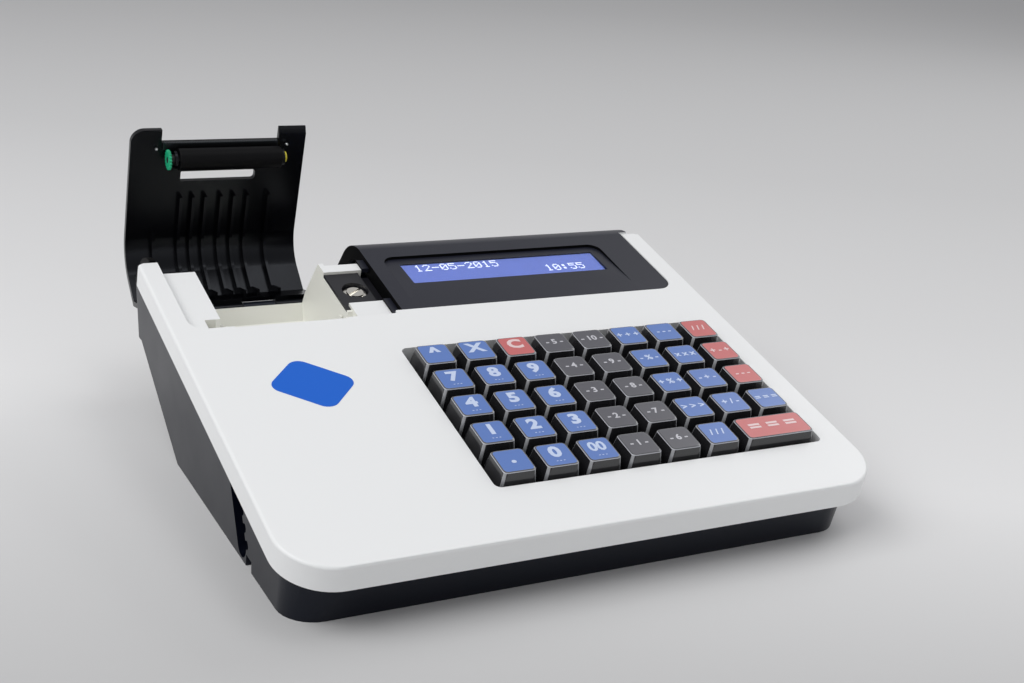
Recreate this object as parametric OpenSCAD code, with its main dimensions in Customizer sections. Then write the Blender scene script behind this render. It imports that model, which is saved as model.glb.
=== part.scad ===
// Portable ticket register: a low black base carries a sloping white top shell.
// A band runs across the back of the shell: the printer cover on the left and
// the display hood on the right share one section. The cover stands open at rest.
// X runs to the right, Y to the back, Z up. The origin is the middle of the base's
// underside. Places on the sloping top are given as (x, v, n): v runs up the slope
// from the shell's front edge and n stands square to it.

/* [Top shell] */
// Width of the white top shell
shell_w = 260; // [256:1:264]
// Length of the shell up its slope
shell_len = 215; // [214:0.5:215.5]
// Height of the shell's outer edge
shell_edge = 11; // [10.5:0.5:11.5]
// Wall thickness of the shell
shell_wall = 2.5; // [2:0.1:2.8]
// Slope of the top, in degrees
slope = 13; // [12.8:0.1:13.2]
// Radius of the front corners, seen from above
shell_corner_r = 22; // [18:1:24]
// Radius along the top edge
shell_edge_r = 3; // [2:0.5:3.5]

/* [Base] */
// Width of the black base, narrower than the shell
base_w = 249; // [248:0.5:249.5]
// Depth of the face it stands on
foot_depth = 145.75; // [144:0.25:147]
// Wall thickness of the base
base_wall = 2.5; // [2:0.1:2.8]

/* [Printer cover and display hood] */
// Radius of the crest where the top turns down to the back
crest_r = 22; // [21.5:0.1:22.5]
// Angle that the crest turns through
crest_turn = 63; // [62:1:64]
// Wall thickness of cover and hood
band_wall = 2.5; // [2.2:0.1:2.6]
// Angle at which the printer cover stands open
cover_open = 89; // [0:1:89]
// Number of stiffening ribs inside the cover
cover_ribs = 8; // [8:1:8]

/* [Printer] */
// Widest paper roll that the bay takes
paper_w = 57; // [56:0.5:57.5]
// Radius of the roll pocket
pocket_r = 20.5; // [19:0.5:20.5]
// Radius of the rubber platen
platen_r = 5.25; // [4.8:0.05:5.3]
// Teeth of the platen gear
gear_teeth = 18; // [14:1:22]

/* [Keyboard] */
// Distance from key to key, both ways
key_pitch = 19.05; // [18.8:0.05:19.2]
// Width of a key at its foot
key_foot = 17; // [16.5:0.1:17.6]
// Width of a key's top
key_top = 13.2; // [12.5:0.1:14]
// Height of the key tops above the shell
key_rise = 4.5; // [4:0.5:5]
// How far a key goes down
key_travel = 3; // [2:0.5:3]

/* [Hidden] */
$fn = 64;
hull_fn = 32;
rim = 0.02;

// Place of the shell's front edge in the part's frame
shell_front_y = -88.4;
shell_front_z = 29.4;
shell_half = shell_w / 2;
base_half = base_w / 2;

// Keyboard opening and keys
opening_left = -38.8;
opening_right = 116.8;
opening_front = 29.5;
opening_back = 128;
opening_r = 3;
first_key_x = -28;
front_row_v = 39;
key_rows = 5;
key_columns = 8;
key_foot_n = -5;
stem = 7.6;
stem_gap = 0.3;
stem_end_n = -12.5;
label_thickness = 0.6;
frame_top_n = -9.5;
frame_thickness = 1.5;
board_top_n = stem_end_n - key_travel - 0.5;
board_thickness = 1.6;

// Band across the back: recess in the shell, cover and hood
band_front_v = 156;
recess_left = -shell_half + 8.6;
recess_right = shell_half - 10.4;
crest_v = 212.3;
crest_blend = 0.04;
band_gap = 0.3;
rear_run = 14.5;
wall_lean = 11.2;
cover_left = recess_left + 0.4;
cover_right = -36.2;
cover_front_v = band_front_v + 0.8;
cover_corner_r = 6.5;
notch_left = -106.6;
notch_right = -49.9;
notch_depth = 6.4;
cover_slot = [-96.5, 178.6, 36.5, 5.2];
cover_rib_x = [-108.3, -96.2, -90.2, -84.2, -76.4, -70, -63.3, -52.6];
hood_left = -25.3;
hood_right = recess_right - 0.3;
hood_front_v = 158.6;
hood_corner_r = 8;
lip_left = -28.7;

// Hinge of the cover, along X
hinge_y = 148.6;
hinge_z = 42.2;
hinge_pin_r = 1.5;
knuckle_r = 3;
cover_knuckles = [[-119.2, -103.8], [-88.2, -72.8], [-56.2, -39.2]];
base_knuckles = [[-103.4, -88.6], [-72.4, -56.6]];

// Paper bay and printer
bay_left = -105.4;
bay_right = bay_left + paper_w + 1.1;
bay_wall = 1.6;
seal_wall = 2.3;
ledge_n = -3.5;
roll_v = 190.8;
roll_n = -26.5;
platen_v = 169.2;
platen_n = -8.7;
shaft_r = 1.5;
bush_r = 2.6;
running_gap = 0.05;

// Displays
glass_left = -10;
glass_right = 94.3;
glass_front = 181.2;
glass_back = 199.8;
panel_left = -17.6;
panel_right = 100.2;
panel_front = 168;
panel_back = 205.2;
panel_sink = 1.5;

function key_name(row, column) = str("key_row", row, "_col", column);
function is_total(row, column) = row == 5 && column == 7;
KEYS = [for (r = [1 : key_rows], c = [1 : key_columns]) if (!(r == 5 && c == 8)) [r, c]];

// ---- frames and outlines ----------------------------------------------------

// Puts children given as (x, v, n) on the sloping top
module on_slope() {
    translate([0, shell_front_y, shell_front_z]) rotate([slope, 0, 0]) children();
}

// Turns children given at the closed cover's place about the hinge to the open rest pose
module cover_at_rest() {
    translate([0, hinge_y, hinge_z])
        rotate([-cover_open, 0, 0])
            translate([0, -hinge_y, -hinge_z])
                on_slope() children();
}

// Extrudes a side-view outline from x0 to x1
module across(x0, x1) {
    translate([x0, 0, 0]) rotate([90, 0, 90]) linear_extrude(x1 - x0) children();
}

// Puts an outline given in the part's upright (y, z) into the slope's (v, n)
module upright() {
    rotate(-slope) translate([-shell_front_y, -shell_front_z]) children();
}

module corner_cut(x, y, sx, sy, r) {
    if (r > 0) difference() {
        translate([x - (sx > 0 ? 1 : r), y - (sy > 0 ? 1 : r)]) square(r + 1);
        translate([x + sx * r, y + sy * r]) circle(r);
    }
}

// Rectangle with radii for front left, front right, back right and back left
module plate(x0, x1, y0, y1, r) {
    difference() {
        translate([x0, y0]) square([x1 - x0, y1 - y0]);
        corner_cut(x0, y0, 1, 1, r[0]);
        corner_cut(x1, y0, -1, 1, r[1]);
        corner_cut(x1, y1, -1, -1, r[2]);
        corner_cut(x0, y1, 1, -1, r[3]);
    }
}

module slab(x0, x1, v0, v1, n0, n1, r = [0, 0, 0, 0]) {
    translate([0, 0, n0]) linear_extrude(n1 - n0) plate(x0, x1, v0, v1, r);
}

// Side view of the band, set in by d: flat top, round crest, sloping back, rear wall
module band_section(d) {
    reach = crest_r + 30;
    difference() {
        intersection() {
            translate([100, -90]) square([200, 90 - d]);
            translate([crest_v, -crest_r]) rotate(-crest_turn)
                translate([-200, -200]) square([400, 200 + crest_r - d]);
            upright() translate([rear_corner_y(), rear_corner_z()]) rotate(-wall_lean)
                translate([-300 - d, -200]) square([300, 400]);
        }
        difference() {
            polygon([
                [crest_v, -crest_r],
                [crest_v, -crest_r + reach],
                [crest_v + reach, -crest_r + reach],
                [crest_v + reach * sin(crest_turn), -crest_r + reach * cos(crest_turn)]]);
            translate([crest_v, -crest_r]) circle(crest_r + crest_blend - d);
        }
    }
}

// Corner where the band's sloping back meets the base's rear wall, upright frame
function crest_end_v() = crest_v + crest_r * sin(crest_turn);
function crest_end_n() = -crest_r + crest_r * cos(crest_turn);
function corner_v() = crest_end_v() + rear_run * cos(crest_turn);
function corner_n() = crest_end_n() - rear_run * sin(crest_turn);
function rear_corner_y() = shell_front_y + corner_v() * cos(slope) - corner_n() * sin(slope);
function rear_corner_z() = shell_front_z + corner_v() * sin(slope) + corner_n() * cos(slope);
function under_shell_z(y) = shell_front_z + (y - shell_front_y) * tan(slope) - shell_edge / cos(slope);

module skin(d0, d1) {
    difference() {
        band_section(d0);
        band_section(d1);
    }
}

// Half plane above a level, for outlines in (v, n)
module above(z) {
    upright() translate([-200, z]) square([500, 200]);
}

// ---- top shell --------------------------------------------------------------

module shell_solid() {
    r = shell_edge_r;
    c = shell_corner_r;
    slab(-shell_half, shell_half, 0, shell_len, -shell_edge, -r, [c, c, r, r]);
    slab(-shell_half + r, shell_half - r, r, shell_len - r, -r - rim, 0, [c - r, c - r, 0, 0]);
    for (side = [-1, 1]) {
        translate([side * (shell_half - r), c, -r]) rotate([-90, 0, 0]) cylinder(r = r, h = shell_len - c - r);
        translate([side * (shell_half - r), shell_len - r, -r]) sphere(r);
        translate([side * (shell_half - c), c, -r]) rotate([0, 0, side > 0 ? -90 : 180])
            rotate_extrude(angle = 90) translate([c - r, 0]) circle(r);
    }
    for (v = [r, shell_len - r])
        translate([-shell_half + c, v, -r]) rotate([0, 90, 0]) cylinder(r = r, h = shell_w - 2 * c);
    for (side = [-1, 1])
        translate([side > 0 ? shell_half - c : -shell_half + r, shell_len - r, -r])
            rotate([0, 90, 0]) cylinder(r = r, h = c - r);
}

module top_shell() {
    inner = shell_half - shell_wall;
    color("white") on_slope() {
        difference() {
            shell_solid();
            // hollow underside
            slab(-inner, inner, shell_wall, band_front_v - shell_wall, -shell_edge - 1, -shell_wall,
                [shell_corner_r - shell_wall, shell_corner_r - shell_wall, 0, 0]);
            // hollow side bars
            slab(-inner, recess_left - shell_wall, 150, shell_len - shell_wall, -shell_edge - 1, -shell_wall);
            slab(recess_right + shell_wall, inner, 150, shell_len - shell_wall, -shell_edge - 1, -shell_wall);
            // keyboard opening
            slab(opening_left, opening_right, opening_front, opening_back, -20, 5,
                [opening_r, opening_r, opening_r, opening_r]);
            // recess of the band, open at the back
            slab(recess_left, lip_left + 0.2, band_front_v, 260, -20, 5, [7, 0, 0, 0]);
            slab(lip_left - 1, recess_right, hood_front_v - band_gap, 260, -20, 5,
                [0, hood_corner_r + band_gap, 0, 0]);
            // room for the base's flange under the inner walls
            translate([0, 0, -shell_edge - 0.3]) linear_extrude(2.6) difference() {
                square([2 * inner, 500], center = true);
                translate([-base_half + base_wall - 0.3, shell_corner_r]) square([base_w - 2 * base_wall + 0.6, 400]);
                translate([-200, -200]) square([400, 340]);
            }
            // relief where the ticket leaves
            slab(-103, -52, band_front_v - 0.8, band_front_v + 1, -1.2, 5);
        }
        // frame wall round the keyboard opening
        translate([0, 0, frame_top_n]) linear_extrude(-frame_top_n - shell_wall + rim) difference() {
            plate(opening_left - 2, opening_right + 2, opening_front - 2, opening_back + 2, [5, 5, 5, 5]);
            plate(opening_left, opening_right, opening_front, opening_back,
                [opening_r, opening_r, opening_r, opening_r]);
        }
        // shelf that carries the hood's front edge
        slab(lip_left, recess_right + 1, band_front_v - rim, band_front_v + 6, -8, -6.3);
    }
}

// ---- base -------------------------------------------------------------------

module base_front(set_in, floor_z, top_n) {
    half = base_half - set_in;
    hull() {
        translate([0, 0, floor_z]) linear_extrude(rim)
            plate(-half, half, -foot_depth / 2 + set_in, 0, [14 - set_in, 14 - set_in, 0, 0], $fn = hull_fn);
        on_slope() translate([0, 0, top_n - rim]) linear_extrude(rim)
            plate(-half, half, 6 + set_in, 90, [18 - set_in, 18 - set_in, 0, 0], $fn = hull_fn);
    }
}

foot_half = foot_depth / 2;
ramp_end = [135.25, 35.2];
step_z = 35;
step_y = rear_corner_y() - (rear_corner_z() - step_z) * tan(wall_lean);
rear_corner_r = 5;
flange_bite = 0.3;
shell_end_y = 122.6;

module base_rear_outline() {
    polygon([
        [-12, 0],
        [foot_half, 0],
        ramp_end,
        [step_y, step_z],
        [rear_corner_y(), rear_corner_z()],
        [shell_end_y, under_shell_z(shell_end_y) + flange_bite],
        [-12, under_shell_z(-12) + flange_bite]]);
}

// What the round back corners leave away, along the leaning rear wall, set in by d
module back_corners(d) {
    r = rear_corner_r;
    for (side = [-1, 1]) translate([side * (base_half - d), step_y, step_z]) rotate([-wall_lean, 0, 0])
        translate([0, -d, -50]) linear_extrude(100) polygon(concat(
            [for (a = [0 : 22.5 : 90]) [side * (r * cos(a) - r), r * sin(a) - r]],
            [[-side * r, 4], [side * 4, 4], [side * 4, -r]]));
}

module base_solid() {
    base_front(0, 0, -shell_edge + flange_bite);
    translate([-base_half, 0, 0]) rotate([90, 0, 90]) linear_extrude(base_w) base_rear_outline();
}

// Flange round the base's top edge, inside the shell's edge
module base_flange(gap) {
    on_slope() translate([0, 0, -shell_edge - gap]) linear_extrude(2 + 2 * gap) difference() {
        d = shell_wall + 0.3 - gap;
        plate(-shell_half + d, shell_half - d, d, shell_len - d, [19, 19, 0, 0]);
        plate(-base_half + 1, base_half - 1, 7, 260, [17, 17, 0, 0]);
    }
}

// Card recess in the left side: a leaning slot with a round foot and grip scallops
module card_recess_outline() {
    translate([-18.6, 6.6]) {
        circle(5.4);
        rotate(-28) translate([-5.3, 0]) square([10.6, 50]);
    }
    for (i = [0 : 2]) translate([-24.4 + i * 3.1, 8.6 + i * 5.8]) circle(1.9);
}

socket_x = [-8, 26, 54, 84];
socket_w = [12, 16, 16, 13];
socket_h = [10.5, 13.5, 13.5, 11.5];
socket_floor = 43.2;

module base_tray() {
    color("dimgray") difference() {
        union() {
            difference() {
                base_solid();
                base_front(base_wall, base_wall, -shell_edge + 3);
                translate([-base_half + base_wall, 0, 0]) rotate([90, 0, 90])
                    linear_extrude(base_w - 2 * base_wall) polygon([
                        [-14, base_wall],
                        [foot_half - 0.55, base_wall],
                        [134.8, 37.9],
                        [step_y - 2, 37.9],
                        [step_y - 2 + 50 * tan(wall_lean), 87.9],
                        [-14, 87.9]]);
            }
            base_flange(0);
            // side wall's rear end, which rises beside the printer cover
            on_slope() end_cap(-base_half + 0.2, cover_left - 0.6, -1);
            // block behind the card recess, with the guide for the card
            intersection() {
                base_solid();
                union() {
                    translate([-base_half + 0.5, -36, 0.5]) cube([12.5, 44, 60]);
                    card_place() translate([0, -3.6, -14.5]) cube([40, 7.2, 29]);
                }
            }
            // shelf behind the paper bay
            translate([-122.5, 138, 38.6]) cube([85.5, 6, 2]);
            // posts that carry the rear board
            for (place = [[-20, 100], [50, 112], [108, 100]]) intersection() {
                base_solid();
                translate([place[0], place[1], 1]) cylinder(r = 3.2, h = 40);
            }
        }
        back_corners(0);
        // seat of the hood's rear edge
        translate([hood_left - 0.3, 143, rear_corner_z()]) cube([hood_right - hood_left + 0.6, 10, 5]);
        // opening for the cover's rear edge and hinge
        translate([cover_left - 0.4, 134, hinge_z + 3.7]) cube([cover_right - cover_left + 0.8, 20, 30]);
        translate([cover_left - 0.4, 143, hinge_z - 3.4]) cube([cover_right - cover_left + 0.8, 20, 20]);
        // card recess, card slot and the notch in the lower edge
        translate([-base_half - 1, 0, 0]) rotate([90, 0, 90]) linear_extrude(9) card_recess_outline();
        card_body(0.3);
        translate([-base_half - 1, -30.6, -1]) cube([6, 6.4, 5.6]);
        // sockets in the rear wall
        for (i = [0 : 3]) translate([socket_x[i] - socket_w[i] / 2 + 1.5, 130, socket_floor + 1.5])
            cube([socket_w[i] - 3, 20, socket_h[i] - 3]);
        // seats of the rubber feet
        feet(0.2);
    }
    // knuckles of the hinge
    color("dimgray") for (k = base_knuckles) difference() {
        union() {
            translate([k[0], hinge_y, hinge_z]) rotate([0, 90, 0]) cylinder(r = knuckle_r, h = k[1] - k[0]);
            translate([k[0], hinge_y - 3.8, hinge_z - 6.5]) cube([k[1] - k[0], 4.8, 6.5]);
        }
        translate([k[0] - 1, hinge_y, hinge_z]) rotate([0, 90, 0]) cylinder(r = hinge_pin_r, h = k[1] - k[0] + 2);
    }
}

module feet(gap) {
    for (x = [-104, 104], y = [-58, 58])
        translate([x, y, -gap * 5]) cylinder(r = 6 + gap, h = 1.6 + gap * 5);
}

module rubber_feet() {
    color("black") feet(0);
}

// Middle of the card's outer edge
module card_place() {
    translate([-base_half + 4.7, -12.1, 14.6]) rotate([-28, 0, 0]) children();
}

module card_body(gap) {
    card_place() translate([0, -1.05 - gap, -12 - gap]) cube([32 + gap, 2.1 + 2 * gap, 24 + 2 * gap]);
}

module journal_card() {
    color("darkslategray") difference() {
        card_body(0);
        // corner cut at the inner end
        card_place() translate([32, 0, 12]) rotate([0, 45, 0]) cube([6, 4, 6], center = true);
        // nail groove at the outer end
        card_place() translate([1.6, 1.05, 0]) rotate([0, 0, 45]) cube([0.8, 0.8, 16], center = true);
    }
}

module hinge_pin() {
    color("silver") translate([-119.8, hinge_y, hinge_z]) rotate([0, 90, 0])
        cylinder(r = hinge_pin_r, h = 78);
}

// ---- paper bay and seal compartment -------------------------------------------

// Place on the slope of a point given in the part's upright (y, z)
function at(y, z) = [
    (y - shell_front_y) * cos(slope) + (z - shell_front_z) * sin(slope),
    (z - shell_front_z) * cos(slope) - (y - shell_front_y) * sin(slope)];
rim_y = 136;
rim_z = 45.7;

module bay_side_outline() {
    polygon([
        [band_front_v, -28.2],
        [band_front_v, -8],
        [166.5, -8],
        [168, ledge_n],
        [208.5, ledge_n],
        at(124, 63),
        at(132, 53.2),
        at(rim_y, rim_z),
        at(rim_y, 39.4),
        at(115, 28.5),
        [roll_v, roll_n],
        [roll_v, -28.2]]);
    intersection() {
        translate([roll_v, roll_n]) circle(pocket_r + bay_wall);
        translate([roll_v - 40, roll_n - 60.3]) square([80, 60]);
    }
}

module bay_hollow_outline() {
    translate([band_front_v + bay_wall, roll_n - 0.1]) square([roll_v - band_front_v - bay_wall, 60]);
    translate([roll_v, roll_n]) circle(pocket_r);
    polygon([
        [roll_v - 1, roll_n],
        at(113.5, 29.46),
        at(132.6, 39.4),
        at(rim_y - bay_wall, rim_z),
        at(rim_y - bay_wall + 3, rim_z + 12),
        at(rim_y - bay_wall + 3, 120),
        [roll_v - 1, 40]]);
}

module paper_bay() {
    color("ivory") on_slope() {
        difference() {
            across(bay_left - 2, bay_right + seal_wall) bay_side_outline();
            across(bay_left, bay_right) bay_hollow_outline();
            // seat of the seal bracket on the right wall
            slab(bay_right - 1, bay_right + seal_wall + 1, 168.9, 200.4, -6, 5);
            slab(bay_right - 1, bay_right + seal_wall + 1, 150, 169, -4.8, 5);
        }
        // ledge on the left, open below, with a deeper pocket beside the gear
        difference() {
            slab(recess_left, bay_left, band_front_v, 208.5, -22, ledge_n, [7, 0, 0, 0]);
            slab(recess_left + 1.6, bay_left - 2 - 2, 169.6, 206.9, -25, ledge_n - 1.8);
            slab(recess_left + 1.6, bay_left - 8.5, band_front_v + 5, 170, -25, ledge_n - 1.8);
            slab(bay_left - 6.9, bay_left + 1, band_front_v - 1, 168, -12.4, 0);
        }
        // seal compartment: front bar with its ramp, rear bar and floor
        across(bay_right + seal_wall - rim, lip_left) polygon([
            [band_front_v, -1.1],
            [159.1, -2.9],
            [161, ledge_n],
            [172.8, ledge_n],
            [172.8, -11],
            [band_front_v, -11]]);
        across(bay_right + seal_wall - rim, lip_left) polygon([
            [200.4, ledge_n],
            [206.5, ledge_n],
            [208.5, ledge_n - 1.6],
            [208.5, -16],
            [200.4, -16]]);
        slab(bay_right + seal_wall - rim, lip_left + 5, 172.8 - rim, 200.4 + rim, -11, -9.4);
        // fairing that slopes down to the rear wall beside the cover
        across(cover_right + 0.4, hood_left - 0.3) upright() polygon([
            [116.5, 62],
            [145.8, 56.5],
            [145.8, 54.5],
            [116.5, 60]]);
    }
}

// ---- printer ------------------------------------------------------------------

frame_left = [-103.4, -102.5];
frame_right = [-48.7, -47.6];
head_pivot_v = 162.1;
head_pivot_n = -20.5;
head_pin_r = 1;

module frame_cheek_outline() {
    difference() {
        polygon([
            [157.9, -26.6],
            [157.9, -9],
            [161, -6.4],
            [173.5, -6.4],
            [173.5, -12],
            [169.8, -19],
            [169.8, -26.6]]);
        translate([platen_v, platen_n]) circle(bush_r + 0.38);
        translate([platen_v - bush_r - 0.36, platen_n]) square([2 * bush_r + 0.72, 20]);
        // the rear lip is low, to let the bush swing in
        translate([platen_v, platen_n - 1.1]) square([20, 20]);
        translate([head_pivot_v, head_pivot_n]) circle(head_pin_r + running_gap);
    }
}

module printer_frame() {
    color("darkgray") on_slope() {
        for (x = [frame_left, frame_right]) across(x[0], x[1]) frame_cheek_outline();
        slab(frame_left[0], frame_right[1], 157.9, 169.8, -26.6, -25.4);
        slab(frame_left[0], frame_right[1], 157.9, 158.9, -26, -12);
    }
}

module print_head() {
    color("gainsboro") on_slope() {
        slab(-100.5, -50.4, 160.9, 163.6, -22.4, -8.6);
        // fins on the heat sink's front face
        for (x = [-98 : 5 : -53]) slab(x, x + 2.2, 159.9, 160.9 + rim, -19, -10);
        translate([frame_left[0] + 0.1, head_pivot_v, head_pivot_n]) rotate([0, 90, 0])
            cylinder(r = head_pin_r, h = frame_right[1] - frame_left[0] - 0.2);
    }
}

module cover_flat_cuts() {
    slab(notch_left, notch_right, 150, cover_front_v + notch_depth, -20, 5);
    // slanted inner face of the right ear's front edge
    across(notch_right - 1, cover_right + 1) polygon([
        [cover_front_v - 1, -0.4],
        [cover_front_v - 0.02, -0.9],
        [cover_front_v + 3.5, -2.85],
        [cover_front_v + 3.5, -5],
        [cover_front_v - 1, -5]]);
    slab(cover_slot[0], cover_slot[0] + cover_slot[2], cover_slot[1], cover_slot[1] + cover_slot[3], -20, 5,
        [0.4, 1.6, 1.6, 0.4]);
}

module cover_shell() {
    intersection() {
        union() {
            // skin, down to the level of the knuckles
            across(cover_left, cover_right) intersection() {
                skin(band_gap, band_gap + band_wall);
                above(hinge_z + 4.1);
            }
            for (k = cover_knuckles) across(k[0], k[1]) intersection() {
                skin(band_gap, band_gap + band_wall);
                above(hinge_z);
            }
            // ribs; the first starts behind the ledge
            for (i = [0 : cover_ribs - 1]) across(cover_rib_x[i] - 0.7, cover_rib_x[i] + 0.7) intersection() {
                skin(band_gap + 1, band_gap + band_wall + 3.4);
                above(hinge_z + 4.4);
                translate([cover_rib_x[i] < bay_left ? 209.4 : 191, -60]) square([60, 80]);
            }
        }
        slab(-200, cover_right, cover_front_v, 300, -60, 5);
        slab(cover_left, 200, cover_front_v, 300, -60, 5, [cover_corner_r, 0, 0, 0]);
    }
}

// Wall that closes the band's end above the base's side wall
module end_cap(x0, x1, lift) {
    across(x0, x1) intersection() {
        band_section(band_gap);
        translate([shell_len + 0.5, -60]) square([60, 80]);
        translate([213, -shell_edge + lift]) rotate(atan2(corner_n() + shell_edge, corner_v() - 213))
            translate([-20, 0]) square([80, 60]);
    }
}

// Cuts the band's outer back corners round like the base's
module with_round_back() {
    difference() {
        children();
        upright_frame() back_corners(band_gap);
    }
}

module upright_frame() {
    rotate([-slope, 0, 0]) translate([0, -shell_front_y, -shell_front_z]) children();
}

module bush_cheek(x0, x1) {
    across(x0, x1) difference() {
        union() {
            translate([platen_v, platen_n]) circle(4.2);
            translate([platen_v - 2.4, platen_n]) square([6.6, -platen_n - 1.5]);
        }
        translate([platen_v, platen_n]) circle(bush_r);
    }
}

module printer_cover() {
    color("black") cover_at_rest() difference() {
        union() {
            cover_shell();
            bush_cheek(-102.1, -100.9);
            bush_cheek(-50.1, -49);
        }
        cover_flat_cuts();
    }
    color("black") difference() {
        cover_at_rest() for (k = cover_knuckles) knuckle_solid(k);
        translate([-130, hinge_y, hinge_z]) rotate([0, 90, 0])
            cylinder(r = hinge_pin_r + running_gap, h = 100);
    }
}

// Knuckle at the closed cover's place, in the slope's frame
module knuckle_solid(k) {
    dy = hinge_y - shell_front_y;
    dz = hinge_z - shell_front_z;
    translate([k[0], dy * cos(slope) + dz * sin(slope), dz * cos(slope) - dy * sin(slope)])
        rotate([0, 90, 0]) cylinder(r = knuckle_r, h = k[1] - k[0]);
}

module tear_bar() {
    teeth = 46;
    step = (notch_right - notch_left - 1) / teeth;
    edge = cover_front_v + notch_depth;
    color("slategray") cover_at_rest() translate([0, 0, -band_gap - band_wall - 1.2]) linear_extrude(1.2)
        polygon(concat(
            [for (i = [0 : teeth]) each [
                [notch_left + 0.5 + i * step, edge],
                if (i < teeth) [notch_left + 0.5 + (i + 0.5) * step, edge - 0.8]]],
            [[notch_right - 0.5, edge + 3.3], [notch_left + 0.5, edge + 3.3]]));
}

module along_platen(x0, x1) {
    cover_at_rest() translate([x0, platen_v, platen_n]) rotate([0, 90, 0]) linear_extrude(x1 - x0) children();
}

module platen_bushes() {
    color("gold") for (x = [[-103.5, -100.7], [-50.2, -47.6]]) along_platen(x[0], x[1]) difference() {
        circle(bush_r);
        circle(shaft_r + running_gap);
    }
}

module platen_roller() {
    color("black") along_platen(-100, -50.5) difference() {
        circle(platen_r);
        circle(shaft_r);
    }
}

module platen_shaft() {
    color("silver") along_platen(-105.1, -47.7) circle(shaft_r);
}

module platen_gear() {
    color("seagreen") {
        along_platen(-105.1, -103.9) difference() {
            union() {
                circle(4);
                for (i = [0 : gear_teeth - 1]) rotate(i * 360 / gear_teeth)
                    polygon([[3.8, -0.42], [4.75, -0.2], [4.75, 0.2], [3.8, 0.42]]);
            }
            circle(shaft_r);
        }
        along_platen(-103.9 - rim, -103.6) difference() {
            circle(2.6);
            circle(shaft_r);
        }
    }
}

// ---- display hood ---------------------------------------------------------------

module on_rear_slope() {
    on_slope() translate([0, crest_end_v(), crest_end_n()]) rotate([-crest_turn, 0, 0]) children();
}

rear_glass = [4, 88, -1, 12.6];

module display_hood() {
    color("dimgray") difference() {
        union() {
            on_slope() intersection() {
                union() {
                    across(hood_left, hood_right) intersection() {
                        skin(band_gap, band_gap + band_wall);
                        above(rear_corner_z());
                    }
                    // end walls and front edge
                    for (x = [hood_left, hood_right - 1.8]) across(x, x + 1.8) intersection() {
                        skin(band_gap + 1, band_gap + 7);
                        above(rear_corner_z());
                    }
                    slab(hood_left, hood_right, hood_front_v, hood_front_v + 2, -6.3, -1);
                }
                slab(hood_left, hood_right, hood_front_v, 300, -60, 5, [0, hood_corner_r, 0, 0]);
            }
            on_slope() with_round_back() end_cap(hood_right - rim, base_half - 0.2, 1.2);
            // lip beside the seal compartment, in two tabs
            on_slope() for (v = [[hood_front_v, 172.8], [200, 208]])
                slab(lip_left, hood_left + 1, v[0], v[1], -4.6, -2.6);
        }
        // sunk panel round the window, deepest at the back
        on_slope() translate([0, panel_front, -band_gap]) rotate([-asin(panel_sink / (panel_back - panel_front)), 0, 0])
            slab(panel_left, panel_right, 0, panel_back - panel_front, 0, 10, [1, 1, 6, 6]);
        on_slope() slab(glass_left, glass_right, glass_front, glass_back, -10, 5, [0.8, 0.8, 0.8, 0.8]);
        on_rear_slope() slab(rear_glass[0], rear_glass[1], rear_glass[2], rear_glass[3], -6, 5, [1, 1, 1, 1]);
    }
}

module display_windows() {
    color("lightblue", 0.5) {
        on_slope() slab(glass_left, glass_right, glass_front, glass_back, -2.8, -1.5, [0.8, 0.8, 0.8, 0.8]);
        on_rear_slope() slab(rear_glass[0], rear_glass[1], rear_glass[2], rear_glass[3], -2.8, -1.3, [1, 1, 1, 1]);
    }
}

module display_modules() {
    color("royalblue") {
        on_slope() {
            slab(-14.5, 93, 174, 197, -8, -2.8);
            slab(-18, 96, 171, 200.5, -9.6, -8);
        }
        on_rear_slope() {
            slab(1, 91, 0.2, 13, -7, -2.8);
            slab(-2, 94, -1.5, 13, -8.6, -7);
        }
    }
}

// ---- seal -----------------------------------------------------------------------

seal_x = -37.2;
seal_v = 185.3;

module seal_bracket() {
    left = bay_right + 0.1;
    right = lip_left + 4.6;
    step_x = -30.6;
    color("black") on_slope() difference() {
        union() {
            // plate that lies on the bay's wall, with its tab in front
            slab(left, step_x, 173.1, 200.1, -6, -4.7);
            slab(left, left + 2, 169.2, 174, -6, -4.7);
            // step down to the hood, and feet
            slab(step_x - 1.6, step_x, 173.1, 200.1, -9.4, -4.7);
            slab(step_x - 1.6, right, 173.1, 200.1, -9.4, -7.6);
            for (v = [173.1, 197.1]) slab(left + 3, step_x, v, v + 3, -9.4, -5.9);
            // well of the screw
            translate([seal_x, seal_v, -9.4]) cylinder(r = 7.3, h = 3.5);
        }
        translate([seal_x, seal_v, -8.6]) cylinder(r = 6.2, h = 6);
        translate([seal_x, seal_v, -12]) cylinder(r = 2, h = 6);
    }
}

module seal_screw() {
    color("lightgray") on_slope() difference() {
        union() {
            translate([seal_x, seal_v, -8.6]) cylinder(r = 5.3, h = 2.1);
            translate([seal_x, seal_v, -8.6]) cylinder(r = 3.9, h = 3);
            translate([seal_x, seal_v, -9.4]) cylinder(r = 2, h = 1);
        }
        translate([seal_x, seal_v, -5.4]) rotate([0, 0, 35]) cube([12, 1.2, 2], center = true);
    }
}

// ---- keyboard ----------------------------------------------------------------------

function key_x(row, column) = first_key_x + key_pitch * (column - 1 + (is_total(row, column) ? 0.5 : 0));
function key_v(row) = front_row_v + key_pitch * (key_rows - row);

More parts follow.
